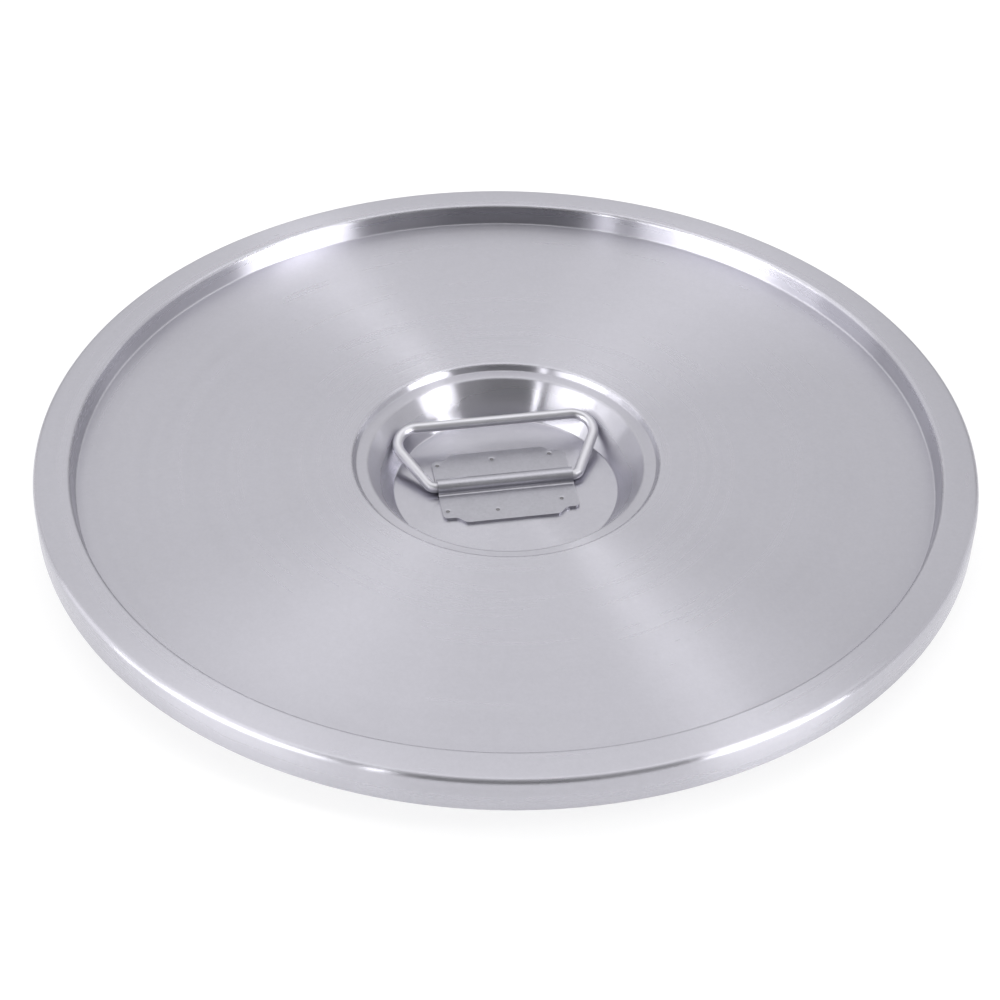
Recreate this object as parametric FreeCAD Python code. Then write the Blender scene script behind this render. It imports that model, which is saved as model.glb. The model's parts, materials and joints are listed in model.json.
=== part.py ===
"""Lid of a large stock or brew kettle: a pressed pan with a folding wire handle.

Millimetres, +Z up. The origin is on the lid's axis, at the underside of the
recess floor, which is the lowest face. X runs along the handle's hinge.
The handle is drawn folded down towards +Y, where it leans on the recess wall.
"""

import FreeCAD, Part
import math
import os

from FreeCAD import Vector

# Sheet metal
SHEET = 1.0                 # thickness of the pan
STRAP_SHEET = 1.2           # thickness of the hinge strap
INNER_BEND = 1.0            # radius inside an ordinary pressed corner of the pan

# Pan: radii and drops of its upper surface
RIM_RADIUS = 215.0
RIM_CORNER_RADIUS = 2.6     # outer corner where the rim band turns into the skirt
RIM_BAND_WIDTH = 16.5
SKIRT_HEIGHT = 16.0
PLUG_DEPTH = 10.1           # rim band down to the disc
PLUG_DRAFT = 1.5            # how far the plug wall leans in over its depth
STEP_RADIUS = 71.2          # inner edge of the disc
STEP_DEPTH = 3.2
STEP_RUN = 1.7
LEDGE_WIDTH = 5.4
RECESS_DEPTH = 16.8         # ledge down to the recess floor
RECESS_RUN = 11.7           # how far the recess wall leans in over its depth

# Handle: round wire, sizes to its centre line
WIRE_DIAMETER = 5.0
HINGE_OFFSET = 1.8          # lid's axis to the hinge axis, towards +Y
HANDLE_REACH = 36.5         # hinge axis to the grip
HANDLE_SPLAY = 18.4         # how much wider each side is at the grip than at the strap
KNEE_RADIUS = 4.2
GRIP_CORNER_RADIUS = 10.0
WIRE_END_GAP = 1.0          # between the wire's two ends, hidden in the strap
SIDE_PLAY = 0.2             # strap end to the start of each knee
RUNNING_CLEARANCE = 0.1     # round the wire in the strap's channel
REST_CLEARANCE = 0.3        # folded handle to the recess wall

# Hinge strap: a flat plate with a channel over the wire
STRAP_LENGTH = 64.0
TAB_HALF_DEPTH = 21.0
LOBE_HALF_DEPTH = 25.0
TAB_LENGTH = 8.3            # strap end to the middle of the lobe's shoulder
SHOULDER_RUN = 3.5
SHOULDER_RADIUS = 4.0
TAB_CORNER_RADIUS = 2.5
FOOT_RADIUS = 1.3           # where the channel rises from the plate

# Spot welds: places as shares of the strap's half length and half depth
WELD_DIAMETER = 3.0
WELD_DIMPLE = 0.15          # how far each weld lies below the strap's face
WELD_PLACES = [
    (-0.92, 0.72), (-0.10, 0.76), (0.77, 0.77),
    (-0.92, -0.64), (-0.20, -0.72), (0.76, -0.58),
]

# Heights that follow
FLOOR_TOP = SHEET
LEDGE_TOP = FLOOR_TOP + RECESS_DEPTH
DISC_TOP = LEDGE_TOP + STEP_DEPTH
RIM_TOP = DISC_TOP + PLUG_DEPTH
SKIRT_END = RIM_TOP - SKIRT_HEIGHT
WIRE_RADIUS = WIRE_DIAMETER / 2
HINGE_HEIGHT = FLOOR_TOP + WIRE_RADIUS + RUNNING_CLEARANCE
HINGE_POINT = Vector(0, HINGE_OFFSET, HINGE_HEIGHT)

# Radii that follow
LEDGE_OUTER = STEP_RADIUS - STEP_RUN
LEDGE_INNER = LEDGE_OUTER - LEDGE_WIDTH
FLOOR_RADIUS = LEDGE_INNER - RECESS_RUN
PLUG_RADIUS = RIM_RADIUS - RIM_BAND_WIDTH
DISC_RADIUS = PLUG_RADIUS - PLUG_DRAFT
OUTER_BEND = INNER_BEND + SHEET
CHANNEL_RADIUS = WIRE_RADIUS + RUNNING_CLEARANCE


def turn_at(before, corner, after):
    """Signed turn of a path at a corner, in radians, positive to the left."""
    way_in = corner - before
    way_out = after - corner
    cross = way_in.x * way_out.y - way_in.y * way_out.x
    return math.atan2(cross, way_in.dot(way_out))


def rounded_edges(corners, radii, closed=False):
    """Lines and tangent arcs along corners in the XY plane, one radius per corner."""
    count = len(corners)
    starts = list(corners)
    ends = list(corners)
    arcs = [None] * count
    for i, corner in enumerate(corners):
        if radii[i] == 0:
            continue
        before = corners[i - 1]
        after = corners[(i + 1) % count]
        turn = turn_at(before, corner, after)
        way_in = (corner - before).normalize()
        way_out = (after - corner).normalize()
        reach = radii[i] * math.tan(abs(turn) / 2)
        starts[i] = corner - way_in * reach
        ends[i] = corner + way_out * reach
        bisector = (way_out - way_in).normalize()
        depth = radii[i] / math.cos(turn / 2) - radii[i]
        arcs[i] = Part.Arc(starts[i], corner + bisector * depth, ends[i]).toShape()
    edges = []
    for i in range(count):
        if arcs[i]:
            edges.append(arcs[i])
        if i == count - 1 and not closed:
            break
        following = (i + 1) % count
        if ends[i].distanceToPoint(starts[following]) > 1e-6:
            edges.append(Part.LineSegment(ends[i], starts[following]).toShape())
    return edges


def offset_corners(corners, distance):
    """The corners of an open path moved to its right by a distance, with mitres."""
    moved = []
    last = len(corners) - 1
    for i, corner in enumerate(corners):
        way_in = (corner - corners[i - 1]).normalize() if i else None
        way_out = (corners[i + 1] - corner).normalize() if i < last else way_in
        way_in = way_in or way_out
        side = Vector(way_in.y + way_out.y, -way_in.x - way_out.x, 0).normalize()
        stretch = side.dot(Vector(way_in.y, -way_in.x, 0))
        moved.append(corner + side * (distance / stretch))
    return moved


def bent_sheet(corners, radii, thickness):
    """Face of a bent sheet in the XY plane, below its upper corners, ends square.

    Each radius is that of the upper surface. The lower one is concentric with it.
    """
    lower_radii = list(radii)
    for i in range(1, len(corners) - 1):
        turn = turn_at(corners[i - 1], corners[i], corners[i + 1])
        lower_radii[i] = radii[i] + math.copysign(thickness, turn)
    upper = rounded_edges(corners, radii)
    lower_corners = offset_corners(corners, thickness)
    lower = rounded_edges(lower_corners, lower_radii)
    ends = [
        Part.LineSegment(corners[0], lower_corners[0]).toShape(),
        Part.LineSegment(corners[-1], lower_corners[-1]).toShape(),
    ]
    wire = Part.Wire(Part.__sortEdges__(upper + lower + ends))
    return Part.Face(wire)


def upright(shape):
    """A drawing in the XY plane stood up, so that its Y becomes the model's Z."""
    shape.rotate(Vector(0, 0, 0), Vector(1, 0, 0), 90)
    return shape


def lid_pan():
    """One pressed sheet: rim band, skirt, plug wall, disc, step and recess."""
    corners = [
        Vector(0, FLOOR_TOP),
        Vector(FLOOR_RADIUS, FLOOR_TOP),
        Vector(LEDGE_INNER, LEDGE_TOP),
        Vector(LEDGE_OUTER, LEDGE_TOP),
        Vector(STEP_RADIUS, DISC_TOP),
        Vector(DISC_RADIUS, DISC_TOP),
        Vector(PLUG_RADIUS, RIM_TOP),
        Vector(RIM_RADIUS, RIM_TOP),
        Vector(RIM_RADIUS, SKIRT_END),
    ]
    radii = [
        0, INNER_BEND, OUTER_BEND, INNER_BEND, OUTER_BEND,
        INNER_BEND, OUTER_BEND, RIM_CORNER_RADIUS, 0,
    ]
    section = upright(bent_sheet(corners, radii, SHEET))
    return section.revolve(Vector(0, 0, 0), Vector(0, 0, 1), 360)


def strap_blank():
    """The strap's outline seen from above, as a tall block to trim it with."""
    end = STRAP_LENGTH / 2
    shoulder = end - TAB_LENGTH
    quarter = [
        (end, TAB_HALF_DEPTH, TAB_CORNER_RADIUS),
        (shoulder + SHOULDER_RUN / 2, TAB_HALF_DEPTH, SHOULDER_RADIUS),
        (shoulder - SHOULDER_RUN / 2, LOBE_HALF_DEPTH, SHOULDER_RADIUS),
    ]
    half = quarter + [(-x, y, radius) for x, y, radius in reversed(quarter)]
    outline = half + [(x, -y, radius) for x, y, radius in reversed(half)]
    corners = [Vector(x, y, 0) for x, y, _ in outline]
    radii = [radius for _, _, radius in outline]
    wire = Part.Wire(rounded_edges(corners, radii, closed=True))
    wire.translate(Vector(0, HINGE_OFFSET, 0))
    return Part.Face(wire).extrude(Vector(0, 0, RIM_TOP))


def weld_centres():
    """Centres of the spot welds on the recess floor."""
    middle = Vector(0, HINGE_OFFSET, FLOOR_TOP)
    return [
        middle + Vector(along * STRAP_LENGTH / 2, across * LOBE_HALF_DEPTH, 0)
        for along, across in WELD_PLACES
    ]


def hinge_strap():
    """Plate on the recess floor with a channel over the wire and holes at the welds."""
    channel = CHANNEL_RADIUS + STRAP_SHEET
    plate_top = FLOOR_TOP + STRAP_SHEET
    channel_top = HINGE_HEIGHT + channel
    foot = min(FOOT_RADIUS, HINGE_HEIGHT - plate_top)
    half = [
        (-LOBE_HALF_DEPTH, plate_top, 0),
        (-channel, plate_top, foot),
        (-channel, channel_top, channel),
    ]
    section = half + [(-y, z, radius) for y, z, radius in reversed(half)]
    corners = [Vector(y, z, 0) for y, z, _ in section]
    radii = [radius for _, _, radius in section]
    face = upright(bent_sheet(corners, radii, STRAP_SHEET))
    face.rotate(Vector(0, 0, 0), Vector(0, 0, 1), 90)
    face.translate(Vector(-STRAP_LENGTH / 2, HINGE_OFFSET, 0))
    strap = face.extrude(Vector(STRAP_LENGTH, 0, 0)).common(strap_blank())
    holes = [Part.makeCylinder(WELD_DIAMETER / 2, STRAP_SHEET, c) for c in weld_centres()]
    return strap.cut(holes).Solids[0]


def spot_welds():
    """Weld nuggets through the strap, each a little below its face."""
    height = STRAP_SHEET - WELD_DIMPLE
    return Part.makeCompound(
        [Part.makeCylinder(WELD_DIAMETER / 2, height, c) for c in weld_centres()]
    )


def handle_path():
    """Edges of the wire's centre line, flat in the XY plane with the hinge on X."""
    turn = math.atan2(HANDLE_REACH, HANDLE_SPLAY)
    knee_start = STRAP_LENGTH / 2 + SIDE_PLAY
    knee = knee_start + KNEE_RADIUS * math.tan(turn / 2)
    corners = [
        Vector(WIRE_END_GAP / 2, 0),
        Vector(knee, 0),
        Vector(knee + HANDLE_SPLAY, HANDLE_REACH),
        Vector(-knee - HANDLE_SPLAY, HANDLE_REACH),
        Vector(-knee, 0),
        Vector(-WIRE_END_GAP / 2, 0),
    ]
    radii = [0, KNEE_RADIUS, GRIP_CORNER_RADIUS, GRIP_CORNER_RADIUS, KNEE_RADIUS, 0]
    return rounded_edges(corners, radii)


def rest_angle(path, side):
    """Angle above the floor, in degrees, at which the wire meets the recess wall.

    The side is 1 for the handle folded towards +Y and -1 for towards -Y.
    """
    points = [point for edge in path for point in edge.discretize(60)]
    lean = math.atan2(RECESS_RUN, RECESS_DEPTH)
    wanted = WIRE_RADIUS + REST_CLEARANCE

    def room(angle):
        gaps = []
        for point in points:
            height = HINGE_HEIGHT + point.y * math.sin(angle) - FLOOR_TOP
            outward = side * HINGE_OFFSET + point.y * math.cos(angle)
            wall = FLOOR_RADIUS + height * math.tan(lean)
            gaps.append((wall - math.hypot(point.x, outward)) * math.cos(lean))
        return min(gaps)

    low = 0.0
    high = math.pi / 2
    while high - low > 1e-7:
        middle = (low + high) / 2
        if room(middle) < wanted:
            low = middle
        else:
            high = middle
    return math.degrees(high)


def handle():
    """Round wire loop that swings in the strap's channel, folded towards +Y."""
    path = handle_path()
    start = path[0].firstVertex().Point
    section = Part.Wire(Part.makeCircle(WIRE_RADIUS, start, Vector(1, 0, 0)))
    wire = Part.Wire(path).makePipeShell([section], True, True)
    far = rest_angle(path, 1)
    near = rest_angle(path, -1)
    wire.rotate(Vector(0, 0, 0), Vector(1, 0, 0), far)
    wire.translate(HINGE_POINT)
    length = sum(edge.Length for edge in path)
    print(f"hinge at y {HINGE_OFFSET:.2f}, z {HINGE_HEIGHT:.2f} mm")
    print(f"rest angle {far:.2f}, travel {180 - far - near:.2f} degrees")
    print(f"wire {length:.1f} mm long")
    return wire


def main():
    os.makedirs("parts", exist_ok=True)
    pieces = {
        "lid_pan": lid_pan(),
        "hinge_strap": hinge_strap(),
        "spot_welds": spot_welds(),
        "wire_handle": handle(),
    }
    for name, shape in pieces.items():
        shape.exportStep(f"parts/{name}.step")
        volume = shape.Volume / 1000
        print(f"{name}: {len(shape.Solids)} solids, {volume:.2f} cm3, valid {shape.isValid()}")


main()
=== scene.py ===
"""Looks for a brushed stainless kettle lid with a folding wire handle.

Metres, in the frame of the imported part: the origin is on the lid's axis under
the recess floor, X runs along the handle's hinge, and the handle lies on +Y.
"""

import json
import math

import bpy
from mathutils import Euler, Matrix, Vector


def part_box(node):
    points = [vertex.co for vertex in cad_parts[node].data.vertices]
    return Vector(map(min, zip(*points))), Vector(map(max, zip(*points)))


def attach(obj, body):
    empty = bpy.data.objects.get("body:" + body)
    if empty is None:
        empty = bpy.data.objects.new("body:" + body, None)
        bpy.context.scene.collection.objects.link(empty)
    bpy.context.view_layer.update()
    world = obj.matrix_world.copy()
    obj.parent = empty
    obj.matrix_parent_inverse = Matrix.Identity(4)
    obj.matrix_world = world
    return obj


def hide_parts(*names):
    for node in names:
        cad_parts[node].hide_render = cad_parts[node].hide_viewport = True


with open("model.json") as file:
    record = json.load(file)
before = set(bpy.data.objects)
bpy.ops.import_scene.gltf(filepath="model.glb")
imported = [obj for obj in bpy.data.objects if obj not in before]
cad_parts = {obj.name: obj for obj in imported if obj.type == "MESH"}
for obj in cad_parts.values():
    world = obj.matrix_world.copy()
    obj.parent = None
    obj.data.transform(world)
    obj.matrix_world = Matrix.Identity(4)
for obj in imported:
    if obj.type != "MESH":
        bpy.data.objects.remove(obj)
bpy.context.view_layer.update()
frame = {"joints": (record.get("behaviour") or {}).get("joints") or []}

MM = 0.001

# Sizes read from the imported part
PAN_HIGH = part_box("lid_pan")[1]
STRAP_LOW, STRAP_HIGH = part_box("hinge_strap")
HANDLE_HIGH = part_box("wire_handle")[1]
HINGE = Vector(frame["joints"][0]["pos_m"])
RIM_RADIUS = PAN_HIGH.x
RIM_TOP = PAN_HIGH.z
STRAP_HALF = STRAP_HIGH.x
LOBE_HALF = (STRAP_HIGH.y - STRAP_LOW.y) / 2

# Sheet and bends
SHEET = 1.0 * MM
STRAP_SHEET = 1.2 * MM
INNER_BEND = 1.0 * MM
OUTER_BEND = INNER_BEND + SHEET
RIM_CORNER_RADIUS = 2.6 * MM

# How fine the meshes are: degrees for each step of an arc, steps round a turn, and a cell's side
PAN_ARC_STEP = 6
PAN_TURN_STEPS = 480
OUTLINE_ARC_STEP = 9
HUMP_ARC_STEP = 7.5
STRAP_CELL = 0.45 * MM
WIRE_ARC_STEP = 3
WIRE_SIDES = 48
WELD_SIDES = 32
WELD_RINGS = 5

# Pan profile, on its upper surface
RIM_BAND_WIDTH = 16.5 * MM
SKIRT_HEIGHT = 16.0 * MM
PLUG_DEPTH = 10.1 * MM
PLUG_DRAFT = 1.5 * MM
STEP_RADIUS = 71.2 * MM
STEP_DEPTH = 3.2 * MM
STEP_RUN = 1.7 * MM
LEDGE_WIDTH = 5.4 * MM
RECESS_RUN = 11.7 * MM
LEDGE_INNER = STEP_RADIUS - STEP_RUN - LEDGE_WIDTH

# Handle
WIRE_RADIUS = 2.5 * MM
HANDLE_REACH = 36.5 * MM
HANDLE_SPLAY = 18.4 * MM
KNEE_RADIUS = 4.2 * MM
GRIP_CORNER_RADIUS = 10.0 * MM
WIRE_END_GAP = 1.0 * MM
SIDE_PLAY = 0.2 * MM

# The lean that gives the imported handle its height
REST_ANGLE = math.asin((HANDLE_HIGH.z - HINGE.z - WIRE_RADIUS) / HANDLE_REACH)

# Strap
RUNNING_CLEARANCE = 0.1 * MM
TAB_HALF = 21.0 * MM
TAB_LENGTH = 8.3 * MM
SHOULDER_RUN = 3.5 * MM
SHOULDER_RADIUS = 4.0 * MM
TAB_CORNER_RADIUS = 2.5 * MM
FOOT_RADIUS = 1.3 * MM
STRAP_EDGE_RADIUS = 0.2 * MM

# Spot welds: a dimple in the strap, and in it a low dome, measured down from the strap's face
WELD_RADIUS = 1.5 * MM
WELD_DIMPLE = 0.15 * MM
DIMPLE_STEEPNESS = 2.2
MARK_RADIUS = 0.72 * WELD_RADIUS
MARK_TOP = 0.45 * WELD_DIMPLE
MARK_FALL = 0.7 * WELD_DIMPLE
MARK_BASE = 1.5 * WELD_DIMPLE

# Their places, as shares of the strap's half length and half depth
WELD_PLACES = [
    (-0.92, 0.72), (-0.10, 0.76), (0.77, 0.77),
    (-0.92, -0.64), (-0.20, -0.72), (0.76, -0.58),
]

# How far wear reaches from the pan's edges, and where along the handle's reach it begins
EDGE_WEAR_REACH = 3 * MM
GRIP_WEAR_START = 2 / 3

# Camera, about the centre of the rim's top: degrees, metres, and the lens in millimetres
CAMERA_AZIMUTH = -10.5
CAMERA_ELEVATION = 38.09
CAMERA_ROLL = 1.11
CAMERA_DISTANCE = 1.0137
CAMERA_LENS = 79.3
AIM_BELOW = 1.63
AIM_LEFT = 0.17

# Floor: it lies just under the part, and glows so that it stays paler than the steel
FLOOR_HALF = 30
FLOOR_DROP = 0.5 * MM
FLOOR_TONE = 0.3
FLOOR_GLOW = 0.75


def mesh_object(name, vertices, faces, smooth=True):
    """A new mesh object in the scene."""
    mesh = bpy.data.meshes.new(name)
    mesh.from_pydata([tuple(v) for v in vertices], [], faces)
    mesh.update()
    for polygon in mesh.polygons:
        polygon.use_smooth = smooth
    piece = bpy.data.objects.new(name, mesh)
    bpy.context.scene.collection.objects.link(piece)
    return piece


def rounded_path(corners, radii, step):
    """Points along 2D corners, each rounded by its radius, in arc steps of so many degrees."""
    points = []
    for i, corner in enumerate(corners):
        if radii[i] == 0 or i in (0, len(corners) - 1):
            points.append(Vector(corner))
            continue
        here = Vector(corner)
        way_in = (here - Vector(corners[i - 1])).normalized()
        way_out = (Vector(corners[i + 1]) - here).normalized()
        turn = math.atan2(way_in.x * way_out.y - way_in.y * way_out.x, way_in.dot(way_out))
        side = Vector((-way_in.y, way_in.x)) * math.copysign(1, turn)
        start = here - way_in * radii[i] * math.tan(abs(turn) / 2)
        centre = start + side * radii[i]
        count = max(2, round(abs(turn) / math.radians(step)))
        for k in range(count + 1):
            angle = turn * k / count
            arm = start - centre
            arm = Vector((arm.x * math.cos(angle) - arm.y * math.sin(angle),
                          arm.x * math.sin(angle) + arm.y * math.cos(angle)))
            points.append(centre + arm)
    return points


# ---------------------------------------------------------------- pieces

def pan_profile():
    """Closed half section of the pan, from the axis round the sheet and back."""
    floor = SHEET
    disc = RIM_TOP - PLUG_DEPTH
    ledge = disc - STEP_DEPTH
    ledge_outer = STEP_RADIUS - STEP_RUN
    plug = RIM_RADIUS - RIM_BAND_WIDTH
    corners = [
        (0, floor), (LEDGE_INNER - RECESS_RUN, floor), (LEDGE_INNER, ledge),
        (ledge_outer, ledge), (STEP_RADIUS, disc), (plug - PLUG_DRAFT, disc),
        (plug, RIM_TOP), (RIM_RADIUS, RIM_TOP), (RIM_RADIUS, RIM_TOP - SKIRT_HEIGHT),
    ]
    upper_radii = [
        0, INNER_BEND, OUTER_BEND, INNER_BEND, OUTER_BEND,
        INNER_BEND, OUTER_BEND, RIM_CORNER_RADIUS, 0,
    ]
    upper = rounded_path(corners, upper_radii, PAN_ARC_STEP)
    normals = []
    for i, point in enumerate(upper):
        before = upper[max(i - 1, 0)]
        after = upper[min(i + 1, len(upper) - 1)]
        along = (after - before).normalized()
        normals.append(Vector((along.y, -along.x)))
    lower = [p + n * SHEET for p, n in zip(upper, normals)]
    lower[0].x = 0
    edge = upper[-1].x - SHEET / 2
    cut_edge = [
        Vector((edge + math.cos(a) * SHEET / 2, upper[-1].y - math.sin(a) * SHEET / 4))
        for a in (math.radians(30 * k) for k in range(1, 6))
    ]
    return upper + cut_edge + lower[::-1]


def build_pan():
    """The pressed pan, turned about its axis in fine steps so reflections stay round."""
    off_axis = [p for p in pan_profile() if p.x > 0]
    vertices = [(0, 0, SHEET)]
    for k in range(PAN_TURN_STEPS):
        angle = math.tau * k / PAN_TURN_STEPS
        for p in off_axis:
            vertices.append((p.x * math.cos(angle), p.x * math.sin(angle), p.y))
    vertices.append((0, 0, 0))
    count = len(off_axis)
    last = len(vertices) - 1
    faces = []
    for k in range(PAN_TURN_STEPS):
        here = 1 + k * count
        there = 1 + (k + 1) % PAN_TURN_STEPS * count
        faces.append((0, here, there))
        for i in range(count - 1):
            faces.append((here + i, here + i + 1, there + i + 1, there + i))
        faces.append((last, there + count - 1, here + count - 1))
    return mesh_object("pan", vertices, faces)


def strap_outline():
    """Points (x, y) of a quarter of the strap's outline, from its middle to its end."""
    shoulder = STRAP_HALF - TAB_LENGTH
    corners = [
        (0, LOBE_HALF), (shoulder - SHOULDER_RUN / 2, LOBE_HALF),
        (shoulder + SHOULDER_RUN / 2, TAB_HALF), (STRAP_HALF, TAB_HALF), (STRAP_HALF, 0),
    ]
    radii = [0, SHOULDER_RADIUS, SHOULDER_RADIUS, TAB_CORNER_RADIUS, 0]
    return rounded_path(corners, radii, OUTLINE_ARC_STEP)[:-1]


def depth_at(x, outline):
    """Half depth of the strap's plate at a distance x along the hinge."""
    x = abs(x)
    for before, after in zip(outline, outline[1:]):
        if x <= after.x:
            share = (x - before.x) / max(after.x - before.x, 1e-9)
            return before.y + (after.y - before.y) * share
    return outline[-1].y


def dimple_depth(x, y):
    """How far the strap's face is pressed down at a point, by the spot welds."""
    depth = 0
    for along, across in WELD_PLACES:
        distance = math.hypot(x - along * STRAP_HALF, y - across * LOBE_HALF) / WELD_RADIUS
        if distance < 1:
            depth += WELD_DIMPLE * min(1, DIMPLE_STEEPNESS * (1 - distance * distance))
    return depth


def build_strap():
    """The hinge strap as one formed sheet: plate, channel over the wire, lobed edges."""
    channel = WIRE_RADIUS + RUNNING_CLEARANCE + STRAP_SHEET
    plate = SHEET + STRAP_SHEET
    top = HINGE.z + channel
    half = [(-LOBE_HALF, plate), (-channel, plate), (-channel, top)]
    corners = half + [(-y, z) for y, z in reversed(half)]
    radii = [0, FOOT_RADIUS, channel, channel, FOOT_RADIUS, 0]
    hump = rounded_path(corners, radii, HUMP_ARC_STEP)[1:-1]
    outline = strap_outline()
    steps = round(2 * STRAP_HALF / STRAP_CELL)
    columns = {round(-STRAP_HALF + 2 * STRAP_HALF * k / steps, 7) for k in range(steps + 1)}
    columns |= {round(sign * p.x, 7) for p in outline for sign in (-1, 1)}
    rows = round(LOBE_HALF / STRAP_CELL)
    foot = hump[0].x
    vertices = []
    for x in sorted(columns):
        depth = depth_at(x, outline)
        near = [(-depth + (depth + foot) * i / rows, plate) for i in range(rows)]
        far = [(-y, z) for y, z in reversed(near)]
        for y, z in near + [(p.x, p.y) for p in hump] + far:
            vertices.append((x, HINGE.y + y, z - dimple_depth(x, y)))
    count = len(vertices) // len(columns)
    faces = []
    for k in range(len(columns) - 1):
        for i in range(count - 1):
            a = k * count + i
            faces.append((a, a + count, a + count + 1, a + 1))
    piece = mesh_object("strap", vertices, faces)
    solid = piece.modifiers.new("sheet", "SOLIDIFY")
    solid.thickness = STRAP_SHEET
    solid.offset = -1
    bevel = piece.modifiers.new("edges", "BEVEL")
    bevel.width = STRAP_EDGE_RADIUS
    bevel.segments = 3
    bevel.limit_method = "ANGLE"
    bevel.angle_limit = math.radians(50)
    return piece


def build_welds():
    """Six spot-weld marks: low domes that fill the strap's dimples."""
    sides = WELD_SIDES
    rings = WELD_RINGS
    vertices = []
    faces = []
    for along, across in WELD_PLACES:
        first = len(vertices)
        centre = Vector((along * STRAP_HALF, HINGE.y + across * LOBE_HALF, SHEET + STRAP_SHEET))
        vertices.append(centre - Vector((0, 0, MARK_TOP)))
        for ring in range(1, rings + 1):
            share = ring / rings
            sunk = MARK_TOP + MARK_FALL * share ** 3
            for k in range(sides):
                a = math.tau * k / sides
                arm = Vector((math.cos(a), math.sin(a), 0)) * MARK_RADIUS * share
                vertices.append(centre + arm - Vector((0, 0, sunk)))
        vertices.append(centre - Vector((0, 0, MARK_BASE)))
        last = len(vertices) - 1
        for k in range(sides):
            after = (k + 1) % sides
            faces.append((first, first + 1 + k, first + 1 + after))
            for ring in range(rings - 1):
                a = first + 1 + ring * sides
                faces.append((a + k, a + sides + k, a + sides + after, a + after))
            a = first + 1 + (rings - 1) * sides
            faces.append((last, a + after, a + k))
    return mesh_object("weld_marks", vertices, faces)


def build_handle():
    """The wire loop, swept in fine steps and leaned back to its rest angle."""
    knee_start = STRAP_HALF + SIDE_PLAY
    turn = math.atan2(HANDLE_REACH, HANDLE_SPLAY)
    knee = knee_start + KNEE_RADIUS * math.tan(turn / 2)
    corners = [
        (WIRE_END_GAP / 2, 0), (knee, 0), (knee + HANDLE_SPLAY, HANDLE_REACH),
        (-knee - HANDLE_SPLAY, HANDLE_REACH), (-knee, 0), (-WIRE_END_GAP / 2, 0),
    ]
    radii = [0, KNEE_RADIUS, GRIP_CORNER_RADIUS, GRIP_CORNER_RADIUS, KNEE_RADIUS, 0]
    line = rounded_path(corners, radii, WIRE_ARC_STEP)
    lean = Matrix.Rotation(REST_ANGLE, 3, "X")
    sides = WIRE_SIDES
    vertices = []
    for i, point in enumerate(line):
        before = line[max(i - 1, 0)]
        after = line[min(i + 1, len(line) - 1)]
        along = (after - before).normalized()
        outward = Vector((along.y, -along.x, 0))
        centre = Vector((point.x, point.y, 0))
        for k in range(sides):
            a = math.tau * k / sides
            ring = outward * math.cos(a) + Vector((0, 0, 1)) * math.sin(a)
            vertices.append(HINGE + lean @ (centre + ring * WIRE_RADIUS))
    faces = []
    for i in range(len(line) - 1):
        for k in range(sides):
            a = i * sides + k
            b = i * sides + (k + 1) % sides
            faces.append((a, b, b + sides, a + sides))
    faces.append(tuple(range(sides))[::-1])
    faces.append(tuple(range(len(vertices) - sides, len(vertices))))
    return mesh_object("handle", vertices, faces)


# ---------------------------------------------------------------- materials

class Steel:
    """A stainless steel material under construction: its shader and its node tree."""

    def __init__(self, name, colour, roughness):
        self.material = bpy.data.materials.new(name)
        self.material.use_nodes = True
        self.tree = self.material.node_tree
        self.shader = self.tree.nodes["Principled BSDF"]
        self.shader.inputs["Metallic"].default_value = 1.0
        self.place = self.node("ShaderNodeTexCoord").outputs["Object"]
        self.colour = colour
        self.roughness = roughness

    def node(self, kind, inputs=(), **settings):
        """A new node with its settings and inputs, each input a value or another node's output."""
        node = self.tree.nodes.new(kind)
        for name, value in settings.items():
            setattr(node, name, value)
        for name, value in dict(inputs).items():
            if isinstance(value, bpy.types.NodeSocket):
                self.tree.links.new(value, node.inputs[name])
            else:
                node.inputs[name].default_value = value
        return node

    def math(self, operation, *values):
        """The output of a maths node."""
        return self.node("ShaderNodeMath", enumerate(values), operation=operation).outputs[0]

    def noise(self, place, scale, detail=2.0, rough=0.5):
        """Noise about 0, from -0.5 to 0.5."""
        inputs = {"Vector": place, "Scale": scale, "Detail": detail, "Roughness": rough}
        return self.math("SUBTRACT", self.node("ShaderNodeTexNoise", inputs).outputs["Fac"], 0.5)

    def scaled(self, place, x, y, z):
        """Coordinates multiplied along each axis, which draws noise out along the smallest."""
        inputs = {0: place, 1: (x, y, z)}
        return self.node("ShaderNodeVectorMath", inputs, operation="MULTIPLY").outputs[0]

    def total(self, terms):
        """Sum of (output, gain) pairs."""
        result = 0.0
        for output, gain in terms:
            result = self.math("MULTIPLY_ADD", output, gain, result)
        return result

    def finish(self, height, tone, gloss):
        """The material, from lists of (output, gain): bump in metres, brightness, roughness."""
        bump = self.node("ShaderNodeBump", {"Height": self.total(height), "Distance": 1.0})
        self.tree.links.new(bump.outputs[0], self.shader.inputs["Normal"])
        level = self.math("ADD", self.total(tone), 1.0)
        inputs = {0: self.colour, "Scale": level}
        tint = self.node("ShaderNodeVectorMath", inputs, operation="SCALE")
        self.tree.links.new(tint.outputs[0], self.shader.inputs["Base Color"])
        rough = self.math("ADD", self.total(gloss), self.roughness)
        self.tree.links.new(rough, self.shader.inputs["Roughness"])
        return self.material


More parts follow.
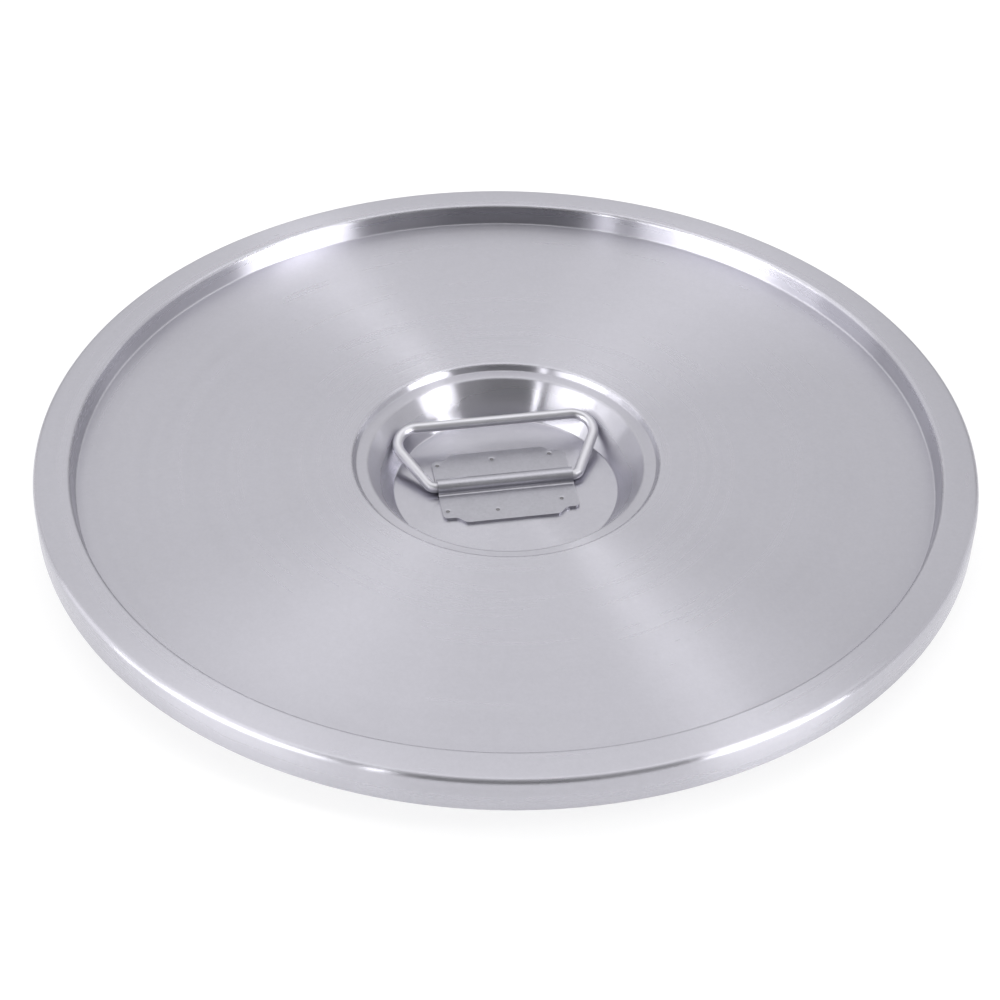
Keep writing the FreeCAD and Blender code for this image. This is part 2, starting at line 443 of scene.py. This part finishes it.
def pan_steel():
    """Stainless spun and brushed in circles about the lid's axis, glossier in the recess."""
    steel = Steel("pan_steel", (0.555, 0.548, 0.600), 0.30)
    steel.shader.inputs["Anisotropic"].default_value = 1.0
    steel.shader.inputs["Anisotropic Rotation"].default_value = 0.25
    tangent = steel.node("ShaderNodeTangent", direction_type="RADIAL", axis="Z")
    steel.tree.links.new(tangent.outputs[0], steel.shader.inputs["Tangent"])
    flat = steel.scaled(steel.place, 1, 1, 0)
    radius = steel.node("ShaderNodeVectorMath", {0: flat}, operation="LENGTH").outputs["Value"]
    bearing = steel.node("ShaderNodeVectorMath", {0: flat}, operation="NORMALIZE").outputs[0]
    split = steel.node("ShaderNodeSeparateXYZ", {0: bearing})
    height = steel.node("ShaderNodeSeparateXYZ", {0: steel.place}).outputs["Z"]
    along = steel.math("SUBTRACT", radius, height)

    def ring(per_metre, round_trip):
        """Coordinates whose noise is drawn out round the lid, less so as round_trip grows."""
        inputs = {
            0: steel.math("MULTIPLY", along, per_metre),
            1: steel.math("MULTIPLY", split.outputs["X"], round_trip),
            2: steel.math("MULTIPLY", split.outputs["Y"], round_trip),
        }
        return steel.node("ShaderNodeCombineXYZ", inputs).outputs[0]

    brush = steel.noise(ring(600, 1.2), 1.0, 0.0, 0.5)
    scratch = steel.noise(ring(260, 0.8), 1.0, 1.0, 0.5)
    sweep = steel.noise(ring(60, 1.2), 1.0, 2.0, 0.5)
    grain = steel.noise(steel.place, 650, 1.0, 0.6)
    mottle = steel.noise(steel.place, 260, 2.0, 0.7)
    cloud = steel.noise(steel.place, 30, 3.0, 0.55)
    wear = steel.node("ShaderNodeAttribute", attribute_name="wear").outputs["Fac"]
    reach = {"Value": radius, "From Min": LEDGE_INNER, "From Max": LEDGE_INNER - RECESS_RUN}
    recess = steel.node("ShaderNodeMapRange", reach).outputs["Result"]
    return steel.finish(
        height=[(grain, 1e-6)],
        tone=[
            (brush, 0.015), (scratch, 0.01), (grain, 0.06), (mottle, 0.06),
            (sweep, 0.02), (cloud, 0.03), (wear, 0.04),
        ],
        gloss=[
            (brush, 0.03), (scratch, 0.07), (cloud, 0.04), (sweep, 0.03),
            (wear, -0.04), (recess, -0.07),
        ],
    )


def strap_steel():
    """Mill-finished sheet, with fine lines along the hinge and handling marks."""
    steel = Steel("strap_steel", (0.45, 0.446, 0.49), 0.34)
    line = steel.noise(steel.scaled(steel.place, 120, 3000, 3000), 1.0, 3.0, 0.6)
    mark = steel.noise(steel.scaled(steel.place, 260, 700, 700), 1.0, 2.0, 0.6)
    grain = steel.noise(steel.place, 700, 2.0, 0.65)
    cloud = steel.noise(steel.place, 150, 3.0, 0.55)
    return steel.finish(
        height=[(line, 2e-6), (mark, 3e-6), (grain, 3e-6)],
        tone=[(line, 0.04), (grain, 0.22), (cloud, 0.14)],
        gloss=[(cloud, 0.12), (line, 0.05), (mark, 0.05)],
    )


def wire_steel():
    """Drawn wire, satin, polished a little where hands have held the grip."""
    steel = Steel("wire_steel", (0.60, 0.595, 0.635), 0.41)
    grain = steel.noise(steel.place, 1500, 3.0, 0.7)
    pull = steel.noise(steel.scaled(steel.place, 150, 1600, 1600), 1.0, 3.0, 0.6)
    cloud = steel.noise(steel.place, 80, 3.0, 0.55)
    wear = steel.node("ShaderNodeAttribute", attribute_name="wear").outputs["Fac"]
    return steel.finish(
        height=[(grain, 3e-6), (pull, 2e-6)],
        tone=[(grain, 0.05), (cloud, 0.05), (pull, 0.03), (wear, 0.03)],
        gloss=[(cloud, 0.08), (grain, 0.04), (wear, -0.05)],
    )


def weld_steel():
    """Steel that the weld has heated: darker and rougher than the sheet."""
    steel = Steel("weld_steel", (0.24, 0.235, 0.245), 0.5)
    grain = steel.noise(steel.place, 2500, 3.0, 0.7)
    cloud = steel.noise(steel.place, 600, 2.0, 0.5)
    return steel.finish(
        height=[(grain, 1e-5)],
        tone=[(grain, 0.2), (cloud, 0.3)],
        gloss=[(cloud, 0.2)],
    )


def wear_on(piece, amount):
    """Stores how worn each vertex is, from 0 to 1, for the material to read."""
    layer = piece.data.attributes.new("wear", "FLOAT", "POINT")
    for i, vertex in enumerate(piece.data.vertices):
        layer.data[i].value = amount(vertex.co)
    return piece


def pan_wear(place):
    """1 on the edges that rub and are handled, fading to 0 a few millimetres away."""
    radius = math.hypot(place.x, place.y)
    edges = [
        (RIM_RADIUS, RIM_TOP), (RIM_RADIUS - RIM_BAND_WIDTH, RIM_TOP),
        (RIM_RADIUS, RIM_TOP - SKIRT_HEIGHT), (STEP_RADIUS, RIM_TOP - PLUG_DEPTH),
    ]
    nearest = min(math.hypot(radius - r, place.z - z) for r, z in edges)
    return max(0, 1 - nearest / EDGE_WEAR_REACH)


def grip_wear(place):
    """1 along the grip, fading to 0 two thirds of the way out from the hinge."""
    reach = math.hypot(place.y - HINGE.y, place.z - HINGE.z) / HANDLE_REACH
    return max(0, min(1, (reach - GRIP_WEAR_START) / (1 - GRIP_WEAR_START)))


def finish_piece(piece, node, body, material):
    """Gives a piece its material, puts it on the body it rides on, and hides the imported part it
    stands in for.
    """
    piece.data.materials.append(material)
    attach(piece, body)
    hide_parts(node)


# ---------------------------------------------------------------- studio

def direction(azimuth, elevation):
    """Unit vector towards a sky direction, azimuth in degrees from +X."""
    a, e = math.radians(azimuth), math.radians(elevation)
    return Vector((math.cos(a) * math.cos(e), math.sin(a) * math.cos(e), math.sin(e)))


def build_camera():
    """A camera that looks down on the lid from in front and a little to its left."""
    data = bpy.data.cameras.new("camera")
    data.lens = CAMERA_LENS
    data.clip_start = 0.01
    data.clip_end = 100
    camera = bpy.data.objects.new("camera", data)
    bpy.context.scene.collection.objects.link(camera)
    back = direction(CAMERA_AZIMUTH - 90, CAMERA_ELEVATION)
    target = Vector((0, 0, RIM_TOP))
    camera.location = target + back * CAMERA_DISTANCE
    facing = (-back).to_track_quat("-Z", "Y")
    roll = Euler((0, 0, math.radians(CAMERA_ROLL))).to_quaternion()
    yaw = Euler((0, math.radians(AIM_LEFT), 0)).to_quaternion()
    pitch = Euler((-math.radians(AIM_BELOW), 0, 0)).to_quaternion()
    camera.rotation_mode = "QUATERNION"
    camera.rotation_quaternion = facing @ roll @ yaw @ pitch
    bpy.context.scene.camera = camera


def build_floor():
    """A plain pale floor."""
    size = FLOOR_HALF
    corners = [(-size, -size, 0), (size, -size, 0), (size, size, 0), (-size, size, 0)]
    floor = mesh_object("floor", corners, [(0, 1, 2, 3)], smooth=False)
    floor.location.z = -FLOOR_DROP
    material = bpy.data.materials.new("floor_white")
    material.use_nodes = True
    nodes = material.node_tree.nodes
    shader = nodes["Principled BSDF"]
    shader.inputs["Base Color"].default_value = (FLOOR_TONE, FLOOR_TONE, FLOOR_TONE, 1)
    shader.inputs["Roughness"].default_value = 1.0
    shader.inputs["Emission Color"].default_value = (1, 1, 1, 1)
    shader.inputs["Emission Strength"].default_value = FLOOR_GLOW
    floor.data.materials.append(material)


# The room's brightness, and where it is dimmer: bearing, elevation, width, height and soft edge
# in degrees, and the share taken away. A bearing of 0 is to the camera's right, 90 is behind the
# lid and 270 is towards the camera.
ROOM_LEVEL = 0.82
DIM_PANELS = [
    (280, 38, 74, 88, 8, 0.64),
    (269, 4, 40, 46, 14, 0.36),
    (84, 4, 96, 28, 16, 0.60),
]

# Softboxes: name, bearing, elevation, width and height in degrees, radiance and distance
SOFTBOXES = [
    ("overhead", 80, 78, 60, 40, 0.7, 6.0),
    ("back", 111, 38, 56, 50, 0.14, 2.0),
    ("left_wide", 194, 20, 64, 62, 0.6, 6.0),
    ("left_core", 216, 10, 37, 42, 2.4, 6.0),
    ("left_low", 205, 2, 44, 18, 3.2, 6.0),
    ("left_strip", 244, 26, 3, 34, 6.0, 6.0),
    ("right_low", 328, 4, 31, 34, 6.5, 6.0),
    ("right_high", 337, 46, 7, 26, 9.0, 6.0),
    ("back_strip", 33, 10, 14, 28, 0.3, 6.0),
]


def build_softboxes():
    """Rectangular lights that face the part, as wide and high as they look from it."""
    for name, bearing, elevation, width, height, radiance, distance in SOFTBOXES:
        light = bpy.data.lights.new(name, "AREA")
        light.shape = "RECTANGLE"
        light.size = 2 * distance * math.tan(math.radians(width / 2))
        light.size_y = 2 * distance * math.tan(math.radians(height / 2))
        light.energy = radiance * math.pi * light.size * light.size_y
        place = direction(CAMERA_AZIMUTH + bearing, elevation)
        box = bpy.data.objects.new(name, light)
        bpy.context.scene.collection.objects.link(box)
        box.location = place * distance
        box.rotation_mode = "QUATERNION"
        box.rotation_quaternion = place.to_track_quat("Z", "Y")
        box.visible_camera = False


def build_world():
    """An even bright room, dimmer where the dim panels are."""
    world = bpy.data.worlds.new("studio")
    bpy.context.scene.world = world
    world.use_nodes = True
    nodes, links = world.node_tree.nodes, world.node_tree.links
    background = nodes["Background"]
    sky = nodes.new("ShaderNodeTexCoord").outputs["Generated"]

    def math_node(operation, *values):
        node = nodes.new("ShaderNodeMath")
        node.operation = operation
        for socket, value in zip(node.inputs, values):
            if isinstance(value, bpy.types.NodeSocket):
                links.new(value, socket)
            else:
                socket.default_value = value
        return node.outputs[0]

    def dot(axis):
        node = nodes.new("ShaderNodeVectorMath")
        node.operation = "DOT_PRODUCT"
        links.new(sky, node.inputs[0])
        node.inputs[1].default_value = axis
        return node.outputs["Value"]

    def within(axis, size, soft):
        """1 in a band of so many degrees about the plane square to the axis, soft at its edges."""
        edge = nodes.new("ShaderNodeMapRange")
        edge.interpolation_type = "SMOOTHSTEP"
        links.new(math_node("ABSOLUTE", dot(axis)), edge.inputs["Value"])
        edge.inputs["From Min"].default_value = math.sin(math.radians((size + soft) / 2))
        edge.inputs["From Max"].default_value = math.sin(math.radians((size - soft) / 2))
        return edge.outputs["Result"]

    level = ROOM_LEVEL
    for bearing, elevation, width, height, soft, share in DIM_PANELS:
        azimuth = CAMERA_AZIMUTH + bearing
        front = math_node("GREATER_THAN", dot(direction(azimuth, elevation)), 0.0)
        across = within(direction(azimuth + 90, 0), width, soft)
        upward = within(direction(azimuth, elevation + 90), height, soft)
        dim = math_node("MULTIPLY", math_node("MULTIPLY", across, upward), front)
        level = math_node("MULTIPLY_ADD", dim, -share * ROOM_LEVEL, level)
    links.new(level, background.inputs["Strength"])
    background.inputs["Color"].default_value = (1, 1, 1, 1)


pan = wear_on(build_pan(), pan_wear)
finish_piece(pan, "lid_pan", "lid", pan_steel())
finish_piece(build_strap(), "hinge_strap", "lid", strap_steel())
finish_piece(build_welds(), "spot_welds", "lid", weld_steel())
handle = wear_on(build_handle(), grip_wear)
finish_piece(handle, "wire_handle", "handle", wire_steel())

bpy.context.scene.view_settings.view_transform = "Standard"
build_world()
build_softboxes()
build_floor()
build_camera()
